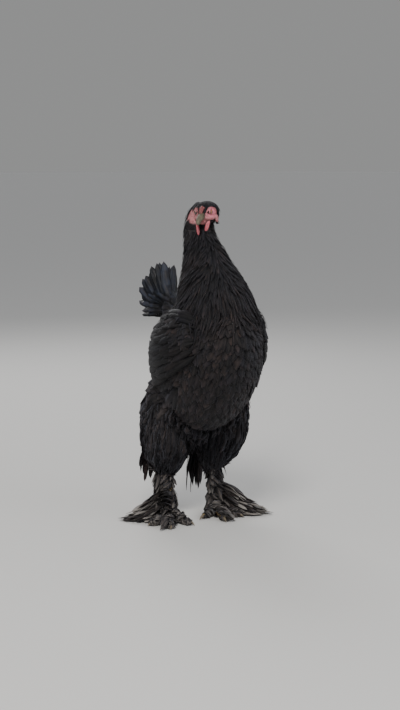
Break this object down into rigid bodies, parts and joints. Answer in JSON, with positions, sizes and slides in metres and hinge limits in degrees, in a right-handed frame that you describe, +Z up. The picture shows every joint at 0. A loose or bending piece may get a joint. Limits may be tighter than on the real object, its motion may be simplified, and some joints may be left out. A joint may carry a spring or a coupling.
{
  "type": "brahma chicken",
  "caption": "Black feather-legged chicken standing upright with its head turned to its right, as a still life-size display model.",
  "frame": {"origin": "on the floor under the middle of the bird's outline", "axes": "+Z up, -Y the way the breast faces, +X the bird's left side"},
  "size_m": [0.3416, 0.379, 0.6978],
  "materials": {
    "plumage": "soft black feathers, brown on the breast and blue-green gloss on the tail",
    "foot_plumage": "dusty brown-black feathers with pale shafts",
    "face_skin": "bare red skin, finely grained",
    "beak_horn": "olive-grey horn, satin",
    "claw_horn": "dull horn",
    "eye": "wet, red-brown iris",
    "toe_skin": "yellowish scaled skin, dusty"
  },
  "bodies": {
    "root": {"torso": "plumage", "neck": "plumage", "head": "plumage", "wing_left": "plumage", "wing_right": "plumage", "tail": "plumage", "thigh_left": "plumage", "thigh_right": "plumage", "foot_left": "foot_plumage", "foot_right": "foot_plumage", "comb": "face_skin", "wattle_left": "face_skin", "wattle_right": "face_skin", "beak_upper": "beak_horn", "beak_lower": "beak_horn", "eye_left": "eye", "eye_right": "eye", "claw_left_inner": "claw_horn", "claw_left_middle": "claw_horn", "claw_left_outer": "claw_horn", "claw_left_hind": "claw_horn", "claw_right_inner": "claw_horn", "claw_right_middle": "claw_horn", "claw_right_outer": "claw_horn", "claw_right_hind": "claw_horn"}
  },
  "joints": []
}
